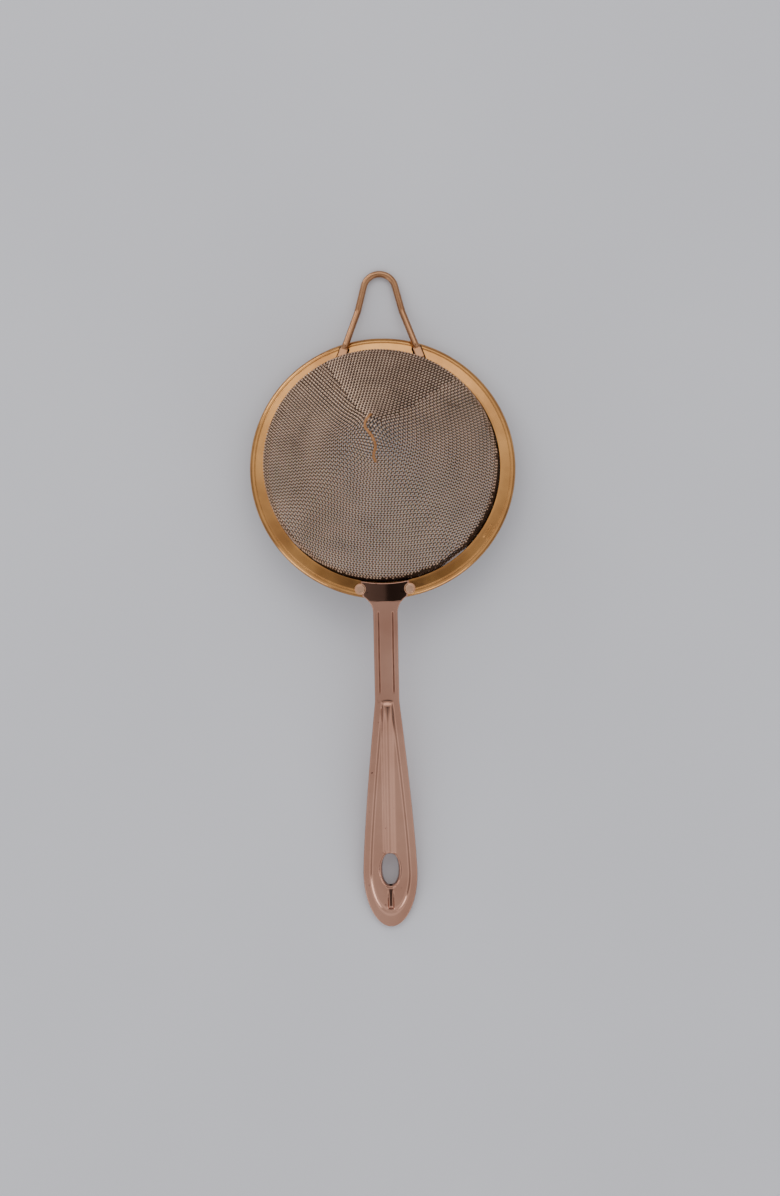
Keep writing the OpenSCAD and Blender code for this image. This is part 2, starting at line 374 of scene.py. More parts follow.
def rim_section():
    """The closed outline of the rim's sheet as r and w, and which points are on its top."""
    flat = np.linspace(OPENING_R + LIP_R * 1.4, FLANGE_OUT[0] - 0.02, 40)
    flange = np.stack([flat, FLANGE_W0 - (flat - OPENING_R) * tan(FLANGE_SLOPE)], 1)
    flange[:, 1] -= GROOVE_DEPTH * np.exp(-((flat - GROOVE_R) / GROOVE_HALF) ** 2)
    inner_lip = arc((OPENING_R + LIP_R, FLANGE_W0 - LIP_R * 1.05), LIP_R, 180, 88, 7)
    outside = arc(CURL_C, CURL_R - TRIM, 79, -65.4, 26)
    curl_end = [[CURL_C[0] - 0.3, 0.02], [CURL_C[0] - 0.3, 0.5]]
    inside = arc(CURL_C, CURL_R - RIM_SHEET, -74, 78, 22)
    collar_out = OPENING_R + RIM_SHEET
    under = [
        [collar_out + 0.25, FLANGE_W0 - RIM_SHEET - 0.07],
        [collar_out, FLANGE_W0 - RIM_SHEET - 0.35],
        [collar_out, 0.95],
        [OPENING_R + RIM_SHEET / 2, 0.9],
        [OPENING_R, 0.95],
    ]
    section = np.concatenate([inner_lip, flange, outside, curl_end, inside, under])
    top = np.zeros(len(section), bool)
    top[len(inner_lip):len(inner_lip) + len(flange) + 8] = True
    return section, top


def make_rim():
    section, top = rim_section()
    angle = np.linspace(0, 2 * pi, RIM_TURNS, endpoint=False)
    r = np.repeat(section[None, :, 0], RIM_TURNS, 0)
    w = np.repeat(section[None, :, 1], RIM_TURNS, 0)
    # The hand-finished flange is a little wavy, and the press left two short dents
    wave = 0.02 * np.sin(3 * angle + 0.6) + 0.015 * np.sin(7 * angle + 2) + 0.008 * np.sin(19 * angle)
    w += (wave[:, None] - 0.045) * top * smooth_step(r, OPENING_R, OPENING_R + 1)
    away = np.arctan2(np.sin(angle - MARK_AT), np.cos(angle - MARK_AT))
    tangent = np.abs(away * 42)[:, None]
    for radius in MARK_RADII:
        across = (r * np.cos(angle[:, None] - MARK_AT) - radius) / MARK_HALF_W
        ends = 1 - smooth_step(tangent, MARK_HALF_L - 0.3, MARK_HALF_L + 0.3)
        w -= MARK_DEPTH * np.exp(-across ** 2) * ends * top
    x = r * np.cos(angle)[:, None]
    y = r * np.sin(angle)[:, None]
    points = np.stack([x, y, w], 2).reshape(-1, 3)
    faces = grid_faces(RIM_TURNS, len(section), closed_u=True, closed_v=True)
    add_piece("rim_rolled", world(points, RING), faces, rim_metal, ["rim_ring"])


# ---- Handle: a pressed sheet as a grid of stations along it and columns across it ----
EDGE_ROUND = 0.42
HOLE_FLARE = 0.3
HOLE_POWER = 2.2
HEAD_CROWN = 0.0022
RIB_SHARE = 0.72
TAIL_FROM = 97.9
TAIL_RISE = 1.3
TAIL_FALL = (103.9, 105.4)
HANDLE_COLUMNS = 46


def half_w(s):
    """Half the handle's width at station s, from the bend line; the head has s below zero."""
    neck = NECK_W / 2
    fillet_rise = np.minimum(FILLET_R, FILLET_END - np.minimum(s, FILLET_END))
    fillet = neck + FILLET_R - np.sqrt(np.maximum(FILLET_R ** 2 - fillet_rise ** 2, 0))
    head = np.minimum(HEAD_W / 2 - HEAD_TAPER * (s + HEAD_LEN), fillet)
    run = np.clip((s - TAPER_S) / (WIDEST_S - TAPER_S), 0, 1)
    taper = neck + (GRIP_W / 2 - neck) * (1 - (1 - run) ** TAPER_POWER)
    tip = GRIP_W / 2 * np.sqrt(np.maximum(1 - ((s - WIDEST_S) / (GRIP_LEN - WIDEST_S)) ** 2, 0))
    return np.where(s < FILLET_END, head, np.where(s < WIDEST_S, taper, tip))


def panel_half_w(s):
    """Half the raised panel's width at station s."""
    past = (s - WIDEST_S) / (PANEL_END - WIDEST_S)
    end = (GRIP_W / 2 - BORDER_W) * np.sqrt(np.maximum(1 - past ** 2, 0))
    return np.where(s < WIDEST_S, half_w(s) - BORDER_W, end)


def oval_half_w(s, grow=0.0):
    """Half the hole's width at station s, with the oval grown all round."""
    along = np.minimum(np.abs(s - HOLE_S) / (HOLE_L / 2 + grow), 1)
    return (HOLE_W / 2 + grow) * (1 - along ** HOLE_POWER) ** (1 / HOLE_POWER)


def relief(x, s):
    """Height that the press gave the sheet at x across and s along, in millimetres."""
    x_abs = np.abs(x)
    past = np.maximum(s - WIDEST_S, 0) / (PANEL_END - WIDEST_S)
    full = GRIP_W / 2 - BORDER_W
    edge = np.where(s > WIDEST_S, (1 - np.hypot(x_abs / full, past)) * full, panel_half_w(s) - x_abs)
    start = (s - PANEL_START + 1.1 - 0.1 * x_abs ** 2) * 0.52
    panel = PANEL_RISE * smooth_step(np.minimum(edge, start), -0.4, 1.0)
    # The rib swells where it starts, and its foot is crisp on the left and soft on the right
    swell = 1 + 0.22 * np.exp(-((s - PANEL_START) / 3.0) ** 2)
    half = np.where(x < 0, RIB_W / 2 + 0.25, RIB_W / 2 + 0.65) * swell
    begin = smooth_step(s, PANEL_START - 2, PANEL_START + 6)
    bulge = 0.5 + 0.5 * np.cos(pi * np.minimum(x_abs / half, 1))
    rib = RIB_SHARE * RIB_RISE * begin * bulge * (s < HOLE_S)
    foot = 0.20 * np.exp(-((x + RIB_W / 2 + 0.3) / 0.2) ** 2) * (s > PANEL_START + 1) * (s < HOLE_S - 5)
    # The short rib past the hole is a wedge: its back stays about level as the grip slopes down
    wedge = np.clip((s - TAIL_FROM) * tan(GRIP_PITCH + radians(3)), 0, TAIL_RISE)
    wedge *= 1 - smooth_step(s, *TAIL_FALL)
    tail = wedge * (1 - smooth_step(x_abs, 0.6, 1.2))
    a, b = HOLE_W / 2 + HOLE_FLARE, HOLE_L / 2 + HOLE_FLARE
    along = np.abs(s - HOLE_S) / b
    from_hole = (np.hypot(x_abs / a, along) - 1) * (a + (b - a) * np.minimum(along, 1) ** 2)
    lip = 0.5 * np.sqrt(np.maximum(1 - ((from_hole - LIP_W * 0.4) / (LIP_W * 0.55)) ** 2, 0))
    return panel + np.maximum(rib, lip) + tail - foot


def engraved(x, s):
    """Depth of the two border lines on the neck."""
    line = np.exp(-((np.abs(x) - LINE_X) / 0.22) ** 2)
    begin = smooth_step(s, LINE_FROM - 0.2, LINE_FROM + 0.2)
    end = smooth_step(s, LINE_TO - 0.2, LINE_TO + 0.2)
    along = begin * (1 - end)
    return 0.24 * line * along


def handle_stations():
    """Stations along the handle, close together where its outline or its relief turns."""
    hole_run = (HOLE_L / 2 + HOLE_FLARE) * np.sin(np.linspace(-pi / 2, pi / 2, 61))
    tip_run = np.sin(np.linspace(0, pi / 2, 70))
    past_hole = HOLE_S + HOLE_L / 2 + 0.5
    parts = [
        np.linspace(-1, -0.93, 4) * HEAD_LEN,
        np.linspace(-0.9, -0.1, 16) * HEAD_LEN,
        [-0.3, -0.12, 0, 0.12, 0.3],
        np.linspace(0.6, FILLET_END, 14),
        np.linspace(4.5, 30, 52),
        np.linspace(30.3, 40, 46),
        np.linspace(40.5, HOLE_S - HOLE_L / 2 - 0.8, 76),
        HOLE_S + hole_run,
        past_hole + (GRIP_LEN - 0.02 - past_hole) * tip_run,
    ]
    return np.unique(np.concatenate([np.asarray(p, float) for p in parts]))


def handle_sheets():
    """Right top, right underside, left top and left underside as grids of x, station and
    height, and which stations the hole crosses."""
    s = handle_stations()
    wide = half_w(s)[:, None]
    # Columns run from the centre, or the hole's edge, out to the rounded edge of the sheet
    run = np.linspace(0, 1, HANDLE_COLUMNS)
    share = 0.25 * np.sin(run * pi / 2) + 0.75 * run
    sheets = []
    for side in (1, -1):
        for is_top in (True, False):
            gap = oval_half_w(s, HOLE_FLARE if is_top else 0)[:, None]
            x = gap + (wide - gap) * share[None, :]
            stations = np.repeat(s[:, None], HANDLE_COLUMNS, 1)
            # The head ends in an arc that follows the mesh opening
            arc_end = (OPENING_R - np.sqrt((OPENING_R + 0.2) ** 2 - x ** 2)) / cos(FLANGE_SLOPE)
            stations = np.where(stations < 0, stations * (HEAD_LEN + arc_end) / HEAD_LEN, stations)
            edge = np.minimum(wide - x, (GRIP_LEN - s)[:, None])
            edge = np.minimum(edge, stations + HEAD_LEN + arc_end)
            edge = np.where(gap > 0, np.minimum(edge, x - gap), edge)
            inward = EDGE_ROUND - np.clip(edge, 0, EDGE_ROUND)
            fall = EDGE_ROUND - np.sqrt(EDGE_ROUND ** 2 - inward ** 2)
            press = relief(side * x, stations)
            crown = HEAD_CROWN * x ** 2 * (stations < 0)
            top = HANDLE_T + press - engraved(x, stations) - fall - crown
            height = top if is_top else np.minimum(press, top - 1.0) + fall * 0.8
            sheets.append(np.stack([side * x, stations, height], 2))
    return sheets, np.abs(s - HOLE_S) < HOLE_L / 2 + HOLE_FLARE


def place_on_handle(points):
    """Points as x, station and height above the underside, put on the head or the grip."""
    x, s, h = points[:, 0], points[:, 1], points[:, 2] - HANDLE_T
    on_head = world(np.stack([x, -HEAD_LEN - s, HANDLE_T + h], 1), HEAD)
    on_grip = world(np.stack([x, -s, h], 1), GRIP)
    blend = np.clip((s + 0.12) / 0.24, 0, 1)[:, None]
    return on_head * (1 - blend) + on_grip * blend


def build_handle():
    sheets, in_hole = handle_sheets()
    rows, columns = sheets[0].shape[:2]
    points = np.concatenate([sheet.reshape(-1, 3) for sheet in sheets])
    size = rows * columns
    quads = grid_faces(rows, columns)
    faces = [quads[:, ::-1], quads + size, quads + 2 * size, quads[:, ::-1] + 3 * size]
    row = np.arange(rows - 1)
    col = np.arange(columns - 1)
    for top_at, bottom_at in ((0, size), (2 * size, 3 * size)):
        # Walls along the outer edge and round the hole, then across both ends
        for column in (columns - 1, 0):
            use = row if column else row[in_hole[:-1] | in_hole[1:]]
            a = use * columns + column
            b = a + columns
            faces.append(np.stack([top_at + a, bottom_at + a, bottom_at + b, top_at + b], 1))
        for end in (0, rows - 1):
            a = end * columns + col
            b = a + 1
            faces.append(np.stack([top_at + a, top_at + b, bottom_at + b, bottom_at + a], 1))
    handle = add_piece("handle_pressed", place_on_handle(points), np.concatenate(faces), handle_metal,
                       ["handle"])
    close_seams(handle)


def build_neck_lines():
    """The darkened floors of the two engraved lines on the neck, as thin strips."""
    section = [(-0.15, -0.3), (0.15, -0.3), (0.15, 0.012), (-0.15, 0.012)]
    for side, name in ((-1, "left"), (1, "right")):
        points = [
            (side * LINE_X + dx, s, HANDLE_T + dh)
            for s in (LINE_FROM, LINE_TO)
            for dx, dh in section
        ]
        add_piece("neck_line_" + name, place_on_handle(np.array(points)), tube_faces(2, 4), seam_metal,
                  ["handle"], smooth=False)


# ---- Weld nuggets: low domes with a ring sunk round them ----
def build_welds():
    section = np.array([
        [0.0, 0.11], [0.7, 0.11], [1.2, 0.10], [1.38, 0.08], [1.46, -0.08], [1.54, -0.14], [1.6, -0.08],
        [1.66, 0.04], [1.75, 0.06], [1.81, 0.0], [WELD_R, -0.12], [WELD_R, -HANDLE_T + 0.05],
        [WELD_R - 0.1, -HANDLE_T - 0.02], [0.0, -HANDLE_T - 0.02],
    ])
    section[:, 1] += HANDLE_T - 0.06
    turns = 64
    angle = np.linspace(0, 2 * pi, turns, endpoint=False)
    for side, name in ((-1, "left"), (1, "right")):
        x = side * WELD_X + section[None, :, 0] * np.cos(angle)[:, None]
        y = -WELD_S + section[None, :, 0] * np.sin(angle)[:, None]
        z = np.repeat(section[None, :, 1], turns, 0) + 0.02 * np.sin(2 * angle + side)[:, None]
        points = np.stack([x, y, z], 2).reshape(-1, 3)
        faces = grid_faces(turns, len(section), closed_u=True)
        obj = add_piece("weld_nugget_" + name, world(points, HEAD), faces, weld_metal,
                        ["handle_welds"])
        close_seams(obj)


# ---- Rest loop: one bent wire with flattened ends, and a painted shadow outline round each end ----
LOOP_SIDES = 28


def build_loop():
    kink_w = FLANGE_W0 - LOOP_DROP - (KINK_U - OPENING_R) * tan(FLANGE_SLOPE) + WIRE_R / cos(FLANGE_SLOPE)
    bight_s = (LOOP_U - KINK_U) / cos(OUTER_PITCH) - BIGHT_R
    gap = hypot(KINK_X, bight_s)
    splay = atan2(KINK_X, bight_s) - asin(BIGHT_R / gap)
    turn = np.linspace(splay, pi / 2, 24)
    outer_s = bight_s + BIGHT_R * np.sin(turn)
    outer = np.stack([BIGHT_R * np.cos(turn), KINK_U + outer_s * cos(OUTER_PITCH),
                      kink_w + outer_s * sin(OUTER_PITCH)], 1)
    tab_end = TAB_U - TAB_L / 2 * cos(FLANGE_SLOPE)
    lean = (TAB_X - KINK_X) / (KINK_U - TAB_U)
    foot_w = kink_w + (KINK_U - tab_end) * tan(FLANGE_SLOPE)
    foot = np.array([TAB_X + lean * (TAB_U - tab_end), tab_end, foot_w])
    kink = np.array([KINK_X, KINK_U, kink_w])
    half = rounded([foot, kink, outer[0]], 0.7, 0.35)
    right = np.concatenate([half, outer[1:]])
    path = np.concatenate([right, (right * [-1, 1, 1])[-2::-1]])
    path_run = np.concatenate([[0], np.cumsum(np.linalg.norm(np.diff(path, axis=0), axis=1))])
    from_end = np.minimum(path_run, path_run[-1] - path_run)
    flat = 1 - smooth_step(from_end, TAB_L - 0.15, TAB_L + 0.35)
    end_round = np.sqrt(np.clip(1 - (1 - np.clip(from_end / 0.5, 0, 1)) ** 2, 0.04, 1))
    widths = (WIRE_R - TRIM + (TAB_W / 2 - WIRE_R) * flat) * end_round
    heights = (WIRE_R + (TAB_T / 2 - WIRE_R) * flat) * (0.6 + 0.4 * end_round)
    dip = np.exp(-((from_end - TAB_L - 0.3) / 0.3) ** 2)
    heights *= 1 - 0.25 * dip
    widths *= 1 - 0.12 * dip
    path[:, 2] -= (WIRE_R - TAB_T / 2) * flat
    points = sweep(path, widths, heights, LOOP_SIDES, np.array([0, 0.0, 1.0]), flat)
    add_piece("rest_loop_wire", world(points, RING), tube_faces(len(path), LOOP_SIDES), loop_metal,
              ["rest_loop"])


def build_tab_shadows():
    """A dark plate a little larger than each tab, laid on the flange under it: painted shadow round the
    tab's edge.
    """
    splay = atan2(TAB_X - KINK_X, KINK_U - TAB_U)
    corner = 0.5
    half_x, half_y = TAB_W / 2 + 0.42, TAB_L / 2 + 0.35
    for side, name in ((-1, "left"), (1, "right")):
        outline = []
        for cx, cy, at in ((1, 1, 0), (-1, 1, 90), (-1, -1, 180), (1, -1, 270)):
            for t in np.radians(np.linspace(at, at + 90, 7)):
                x = cx * (half_x - corner) + corner * cos(t)
                y = cy * (half_y - corner) + corner * sin(t)
                outline.append((x, y))
        outline = np.array(outline)
        c, sn = cos(side * splay), sin(side * splay)
        from_x = outline[:, 0] * c - outline[:, 1] * sn
        from_u = outline[:, 0] * sn + outline[:, 1] * c
        rings = []
        for grow, lift in ((1.0, -0.1), (1.0, 0.05), (0.93, 0.09)):
            x = side * TAB_X + from_x * grow
            u = TAB_U + from_u * grow
            w = FLANGE_W0 - (np.hypot(x, u) - OPENING_R) * tan(FLANGE_SLOPE) + lift
            rings.append(np.stack([x, u, w], 1))
        points = np.concatenate(rings)
        count = len(outline)
        faces = grid_faces(3, count, closed_v=True).tolist()
        faces += [list(range(count))[::-1], list(range(2 * count, 3 * count))]
        # The rim of this plate that shows round the tab is painted shadow
        add_piece("tab_painted_shadow_" + name, world(points, RING), faces, painted_shade_metal, ["rest_loop"])


# ---- Woven mesh: a net of equal cells laid over the cone, then wires through its nodes ----
PITCH = 1.08
WIRE = 0.25
WEAVE = 0.19
INSET = WIRE + WEAVE + 0.05
# The length of cloth from the nose to past the rim, counted in cells
CLOTH_RUN = 61
NET_CELLS = int(CLOTH_RUN / PITCH) + 1
RELAX_ROUNDS = 16
NOSE_SUNK = 0.45
MAIN_AT = radians(37)
LOW_CUT = 1.2
WIRE_SIDES = 5
UNDERSIDES = slice(3, 5)
CROWN_SHARE = 0.5
EDGE_SHADE_AT = radians(-50)
# Indices of the wire's metals: painted lit, painted shade and painted half shade
LIT_TONE, SHADE_TONE, HALF_SHADE_TONE = 0, 1, 2
WIRE_METALS = (wire_metal, painted_shade_metal, half_shade_metal)
chance = np.random.default_rng(7)


def cone_shape():
    """The mesh profile as in part.scad: shoulder and nose centres, and the cone's normal angle."""
    shoulder = np.array([OPENING_R - SHOULDER_R, COLLAR_H])
    nose = np.array([0.0, MESH_H - NOSE_R])
    gap = np.linalg.norm(nose - shoulder)
    normal = atan2(shoulder[0], nose[1] - shoulder[1]) - asin((NOSE_R - SHOULDER_R) / gap)
    return shoulder, nose, normal


SHOULDER_C, NOSE_C, CONE_NORMAL = cone_shape()


def surface(p):
    """Signed distance of points to the middle of the cloth, and its gradient."""
    r = np.hypot(p[:, 0], p[:, 1])
    w = p[:, 2]
    out = np.array([cos(CONE_NORMAL), sin(CONE_NORMAL)])
    flat_d = (r - SHOULDER_C[0]) * out[0] + (w - SHOULDER_C[1]) * out[1] - (SHOULDER_R - INSET)
    along_s = -(r - SHOULDER_C[0]) * out[1] + (w - SHOULDER_C[1]) * out[0]
    along_n = -(r - NOSE_C[0]) * out[1] + (w - NOSE_C[1]) * out[0]
    dist = flat_d.copy()
    grad = np.repeat(out[None, :], len(p), 0)
    on_nose = along_n > 0
    rn = np.maximum(np.hypot(r, w - NOSE_C[1]), 1e-9)
    dist[on_nose] = (rn - (NOSE_R - INSET))[on_nose]
    grad[on_nose] = (np.stack([r, w - NOSE_C[1]], 1) / rn[:, None])[on_nose]
    on_shoulder = (along_s < 0) & (w > SHOULDER_C[1])
    rs = np.maximum(np.hypot(r - SHOULDER_C[0], w - SHOULDER_C[1]), 1e-9)
    dist[on_shoulder] = (rs - (SHOULDER_R - INSET))[on_shoulder]
    grad[on_shoulder] = (np.stack([r - SHOULDER_C[0], w - SHOULDER_C[1]], 1) / rs[:, None])[on_shoulder]
    on_collar = w <= SHOULDER_C[1]
    dist[on_collar] = (r - (OPENING_R - INSET))[on_collar]
    grad[on_collar] = (1.0, 0.0)
    rr = np.maximum(r, 1e-9)
    full = np.stack([grad[:, 0] * p[:, 0] / rr, grad[:, 0] * p[:, 1] / rr, grad[:, 1]], 1)
    return dist, full


def onto_surface(p, rounds=3):
    """Points moved to the nearest place on the middle of the cloth."""
    for _ in range(rounds):
        dist, grad = surface(p)
        p = p - dist[:, None] * grad
    return p


def meridian(steps):
    """Points at each cell along a main thread, from the nose outwards, in the plane of x and w."""
    fine = [np.array([0.0, NOSE_C[1] + NOSE_R - INSET])]
    step = 0.02
    direction = np.array([1.0, 0.0])
    while len(fine) < steps * PITCH / step + 2:
        p = fine[-1] + direction * step
        q = onto_surface(np.array([[p[0], 0.0, p[1]]]), 1)[0]
        fine.append(np.array([q[0], q[2]]))
        direction = (fine[-1] - fine[-2]) / np.linalg.norm(fine[-1] - fine[-2])
    every = int(round(PITCH / step))
    return np.array(fine)[::every][:steps]


def quarter_net(count):
    """Nodes of one quarter of the net; each new node is one cell from both its neighbours."""
    main = meridian(count)
    net = np.zeros((count, count, 3))
    net[:, 0] = np.stack([main[:, 0], np.zeros(count), main[:, 1]], 1)
    net[0, :] = np.stack([np.zeros(count), main[:, 0], main[:, 1]], 1)
    for total in range(2, 2 * count - 1):
        i = np.arange(max(1, total - count + 1), min(count - 1, total - 1) + 1)
        if not len(i):
            continue
        j = total - i
        a, b, c = net[i - 1, j], net[i, j - 1], net[i - 1, j - 1]
        p = onto_surface(a + b - c)
        for _ in range(6):
            dist, grad = surface(p)
            da, db = p - a, p - b
            f = np.stack([(da ** 2).sum(1) - PITCH ** 2, (db ** 2).sum(1) - PITCH ** 2, dist], 1)
            m = np.stack([2 * da, 2 * db, grad], 1) + np.eye(3) * 1e-6
            move = np.linalg.solve(m, f[:, :, None])[:, :, 0]
            size = np.linalg.norm(move, axis=1, keepdims=True)
            p = p - move * np.minimum(1, 0.5 / np.maximum(size, 1e-9))
        net[i, j] = p
    return net


def whole_net(count):
    """The four quarters, turned into place round the nose."""
    quarter = quarter_net(count)
    net = np.zeros((2 * count - 1, 2 * count - 1, 3))
    mid = count - 1
    for turn in range(4):
        angle = MAIN_AT + turn * pi / 2
        c, s = cos(angle), sin(angle)
        turned = quarter @ np.array([[c, s, 0], [-s, c, 0], [0, 0, 1]])
        i, j = np.meshgrid(np.arange(count), np.arange(count), indexing="ij")
        gi, gj = ((i, j), (-j, i), (-i, -j), (j, -i))[turn]
        net[mid + gi, mid + gj] = turned
    return net


def relax(net, rounds):
    """Evens out the bends along the main threads, as stiff wire does, and stays on the surface."""
    shape = net.shape
    for _ in range(rounds):
        mean = (net[2:, 1:-1] + net[:-2, 1:-1] + net[1:-1, 2:] + net[1:-1, :-2]) / 4
        net[1:-1, 1:-1] += 0.8 * (mean - net[1:-1, 1:-1])
        net = onto_surface(net.reshape(-1, 3), 2).reshape(shape)
    return net


def pressed_nose(p):
    """The cloth leans to -x towards the nose, and the nose is pinched into a short ridge."""
    q = p.copy()
    near = np.exp(-((MESH_H - p[:, 2]) / 7.5) ** 2)
    q[:, 0] = p[:, 0] * (1 - 0.30 * near)
    q[:, 1] = p[:, 1] * (1 + 0.22 * near)
    rise = smooth_step(p[:, 2], 2.5, 8.5)
    q[:, 0] -= 1.1 * rise + 2.2 * np.clip((p[:, 2] - COLLAR_H) / (MESH_H - COLLAR_H), 0, 1)
    q[:, 1] += 0.8 * rise
    # The cloth's edge spreads out against the rim's collar
    spread = 1 + 0.2 / OPENING_R * (1 - smooth_step(p[:, 2], 1.5, 3.2))
    q[:, :2] *= spread[:, None]
    ripple = 0.35 * near * np.sin((q[:, 1] + 2) * 0.62)
    q[:, 0] += ripple
    # Pressed in a little, which keeps the wires inside the CAD box
    q[:, 2] -= NOSE_SUNK * near
    return q


def wire_runs(lines, ups, lifts, inside):
    """The unbroken stretches of wires inside the rim, as points, normals and over or under."""
    runs = []
    for line, up, lift, ok in zip(lines, ups, lifts, inside):
        where = np.flatnonzero(ok)
        for part in np.split(where, np.flatnonzero(np.diff(where) > 1) + 1):
            if len(part) >= 3:
                runs.append((line[part], up[part], lift[part]))
    return runs


def halved(runs):
    """Two groups with about the same number of points, which keeps each piece small."""
    half = sum(len(run[0]) for run in runs) / 2
    groups, total = ([], []), 0
    for run in runs:
        groups[0 if total < half else 1].append(run)
        total += len(run[0])
    return groups


def build_wires():
    net = relax(whole_net(NET_CELLS), RELAX_ROUNDS)
    normal = surface(net.reshape(-1, 3))[1].reshape(net.shape)
    i, j = np.indices(net.shape[:2])
    over = np.where((i + j) % 2 == 0, 1.0, -1.0)
    inside = net[:, :, 2] > LOW_CUT
    warp = wire_runs(net.swapaxes(0, 1), normal.swapaxes(0, 1), over.T, inside.T)
    weft = wire_runs(net, normal, -over, inside)
    for name, runs in (("warp", warp), ("weft", weft)):
        for number, group in enumerate(halved(runs)):
            make_wires(f"mesh_{name}_{number + 1}", group, name == "weft")


def wire_tones(line, lift, is_weft):
    """The metal of each side of each segment of a wire, with light and shade painted in. Crowns are
    painted lit, dips and undersides get painted shade, the links between them painted half shade,
    and all gets painted shade down by the rim. In the fan towards the loop the warp's links are
    painted lit too, and the weft's crowns get the painted half shade."""
    azimuth = np.arctan2(line[:, 1], line[:, 0])
    fan = smooth_step(azimuth, MAIN_AT, MAIN_AT + 0.35)
    fan *= 1 - smooth_step(azimuth, MAIN_AT + pi / 2 - 0.35, MAIN_AT + pi / 2)
    in_fan = fan > 0.45
    # Painted shade in the band by the rim, widest towards EDGE_SHADE_AT
    edge_top = 5.2 + 1.2 * np.maximum(np.cos(azimuth - EDGE_SHADE_AT), 0) + chance.uniform(-0.4, 0.4)
    at_edge = line[:, 2] < edge_top
    # Crowns painted lit, with painted shade on the dips and painted half shade on the fan's weft; links get
    # painted half shade, lit or shade
    crowns = np.where(at_edge | (lift < 0), SHADE_TONE, np.where(in_fan & is_weft, HALF_SHADE_TONE, LIT_TONE))
    fan_link = SHADE_TONE if is_weft else LIT_TONE
    links = np.where(at_edge, SHADE_TONE, np.where(in_fan, fan_link, HALF_SHADE_TONE))
    segments = np.stack([crowns, links], 1).ravel()[:-1]
    tones = np.repeat(segments[:, None], WIRE_SIDES, 1)
    # Painted shade on the underside of every wire
    tones[:, UNDERSIDES] = SHADE_TONE
    return tones.ravel().tolist()


def make_wires(name, runs, is_weft):
    """Tubes that pass over and under the crossing wires, all in one piece."""
    verts, faces, tones, start = [], [], [], 0
    for line, up, lift in runs:
        # Two points at each crossing, so the crown of the wire is flat as in crimped wire
        crown = np.gradient(line, axis=0) * CROWN_SHARE / 2
        raised = line + up * (lift * WEAVE)[:, None]
        path = pressed_nose(np.stack([raised - crown, raised + crown], 1).reshape(-1, 3))
        size = np.full(len(path), WIRE)
        verts.append(sweep(path, size, size, WIRE_SIDES, np.repeat(up, 2, axis=0)))
        faces += tube_faces(len(path), WIRE_SIDES, start)
        # The end caps get painted shade too
        tones += wire_tones(line, lift, is_weft) + [SHADE_TONE, SHADE_TONE]
        start += len(path) * WIRE_SIDES
    obj = add_piece(name, world(np.concatenate(verts), RING), faces, WIRE_METALS[0], ["mesh_cone"])
    for metal in WIRE_METALS[1:]:
        obj.data.materials.append(metal)
    obj.data.polygons.foreach_set("material_index", np.array(tones, dtype=np.int32))


CREASE_SIDES = 7
CREASE_WIRE = 0.34
CREASE_TWISTS = 11


def build_crease():
    """The drawn seam over the nose: two copper wires twisted round each other along an S."""
    y = np.linspace(-9.7, 9.4, 150)
    bend = np.interp(y, [-9.7, -6, -3, 0, 2.4, 4.8, 9.4], [1.7, 1.1, 2.2, -0.3, -3.0, -2.7, -0.4])
    x = np.convolve(np.pad(bend, 6, mode="edge"), np.ones(13) / 13, mode="valid")
    guess = np.stack([x, y, MESH_H - 0.1 * np.hypot(x, y)], 1)
    base = onto_surface(guess, 8)
    up = surface(base)[1]
    side = np.cross(np.gradient(base, axis=0), up)
    side /= np.linalg.norm(side, axis=1, keepdims=True)
    run = np.linspace(0, 2 * pi * CREASE_TWISTS, len(y))
    size = np.full(len(y), CREASE_WIRE)
    verts, faces = [], []
    for number, phase in enumerate((0, pi)):
        lift = 0.42 + 0.12 * np.sin(run + phase)
        path = base + up * lift[:, None] + side * (0.28 * np.cos(run + phase))[:, None]
        verts.append(sweep(pressed_nose(path), size, size, CREASE_SIDES, up))
        faces += tube_faces(len(y), CREASE_SIDES, number * len(y) * CREASE_SIDES)
    points = world(np.concatenate(verts), RING)
    add_piece("mesh_nose_seam", points, faces, crease_metal, ["mesh_cone"])


# ---- Floor, light and camera ----
def build_floor(reach=3.0):
    """A plain pale sheet of paper just under the lowest point."""
    paper = Shader("floor_paper", metallic=0.0)
    mottle = paper.ramp(paper.noise(9, detail=4), 0.3, 0.7)
    tone = paper.mix(mottle, (0.705, 0.71, 0.755), (0.735, 0.74, 0.785))
    paper.link(tone, paper.bsdf.inputs["Base Color"])
    paper.bsdf.inputs["Roughness"].default_value = 0.9
    paper.bump(paper.noise(1800, detail=3), 4e-5, 0.4)
    mesh = bpy.data.meshes.new("floor")
    corners = [(-reach, -reach, 0), (reach, -reach, 0), (reach, reach, 0), (-reach, reach, 0)]
    mesh.from_pydata(corners, [], [(0, 1, 2, 3)])
    mesh.materials.append(paper.mat)
    floor = bpy.data.objects.new("floor", mesh)
    bpy.context.collection.objects.link(floor)
    floor.location.z = cad_box[0].z - 0.0002


def light_from(name, azimuth, elevation, distance, size, radiance, tint=(1, 1, 1)):
    """A softbox facing the object; azimuth in degrees from +X towards +Y."""
    a, e = radians(azimuth), radians(elevation)
    place = Vector((cos(a) * cos(e), sin(a) * cos(e), sin(e))) * distance
    light = bpy.data.lights.new(name, "AREA")
    light.shape = "RECTANGLE"
    light.size, light.size_y = size
    light.energy = radiance * pi * size[0] * size[1]
    light.color = tint
    obj = bpy.data.objects.new(name, light)
    bpy.context.collection.objects.link(obj)
    obj.location = place
    obj.rotation_euler = (Vector((0, 0.02, 0.02)) - place).to_track_quat("-Z", "Y").to_euler()


# How bright the studio is at each height, as the Z of a direction: dark straight up, where
# the camera stands, bright half way up and dim at the horizon
SKY = ((0.0, 0.20), (0.25, 0.40), (0.50, 0.90), (0.70, 1.05), (0.86, 0.88), (0.935, 0.66), (0.990, 0.42),
       (0.998, 0.12))


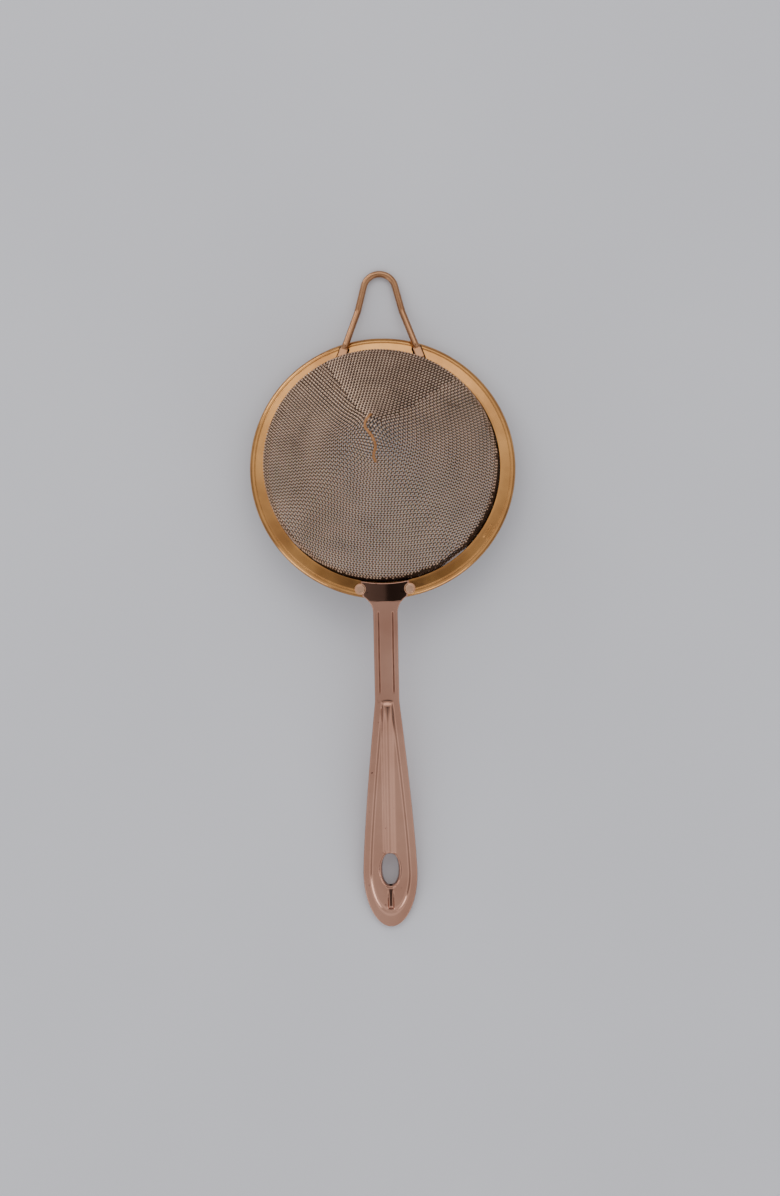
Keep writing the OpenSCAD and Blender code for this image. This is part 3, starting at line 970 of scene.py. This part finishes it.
def build_studio():
    studio = bpy.data.worlds.new("studio")
    bpy.context.scene.world = studio
    studio.use_nodes = True
    nodes, links = studio.node_tree.nodes, studio.node_tree.links
    background = nodes["Background"]
    parts = nodes.new("ShaderNodeSeparateXYZ")
    links.new(nodes.new("ShaderNodeTexCoord").outputs["Generated"], parts.inputs[0])
    sky = nodes.new("ShaderNodeValToRGB")
    links.new(parts.outputs["Z"], sky.inputs["Fac"])
    while len(sky.color_ramp.elements) < len(SKY):
        sky.color_ramp.elements.new(0.5)
    for stop, (height, glow) in zip(sky.color_ramp.elements, SKY):
        stop.position = height
        stop.color = (glow, glow, glow * 1.02, 1)
    # Straight up, the right half is darker than the left, which splits the head's reflection
    side = nodes.new("ShaderNodeMapRange")
    for key, value in (("From Min", -0.001), ("From Max", 0.004), ("To Min", 1.0), ("To Max", 0.25)):
        side.inputs[key].default_value = value
    links.new(parts.outputs["X"], side.inputs["Value"])
    near_top = nodes.new("ShaderNodeMapRange")
    near_top.inputs["From Min"].default_value = 0.985
    near_top.inputs["From Max"].default_value = 0.996
    links.new(parts.outputs["Z"], near_top.inputs["Value"])
    shade = nodes.new("ShaderNodeMix")
    shade.inputs[2].default_value = 1.0
    links.new(near_top.outputs["Result"], shade.inputs["Factor"])
    links.new(side.outputs["Result"], shade.inputs[3])
    links.new(sky.outputs["Color"], background.inputs["Color"])
    links.new(shade.outputs[0], background.inputs["Strength"])


def add_camera():
    """Straight above the object, turned a little, with a long lens."""
    centre = (cad_box[0] + cad_box[1]) / 2
    data = bpy.data.cameras.new("camera")
    data.sensor_fit = "VERTICAL"
    data.sensor_height = 36
    data.lens = 89
    camera = bpy.data.objects.new("camera", data)
    bpy.context.collection.objects.link(camera)
    camera.location = (centre.x + 0.0016, centre.y + 0.0002, 1.0)
    camera.rotation_euler = (0, 0, radians(-1.1))
    bpy.context.scene.camera = camera


# ---- The whole scene ----
make_rim()
build_handle()
build_neck_lines()
build_welds()
build_loop()
build_tab_shadows()
build_wires()
build_crease()
# The clamp ring keeps its CAD shape
clamp = frame["nodes"]["mesh_clamp_ring"]
clamp.data.materials.clear()
clamp.data.materials.append(clamp_metal)

build_floor()
light_from("key_softbox", 92, 50, 1.8, (1.3, 1.0), 1.1, (1.0, 0.96, 0.90))
light_from("strip_upper_left", 125, 13, 1.4, (0.8, 0.3), 5, (1.0, 0.97, 0.93))
light_from("strip_lower_left", 222, 13, 1.4, (0.8, 0.3), 3)
light_from("strip_lower_right", 303, 13, 1.4, (0.8, 0.3), 3)
build_studio()
add_camera()
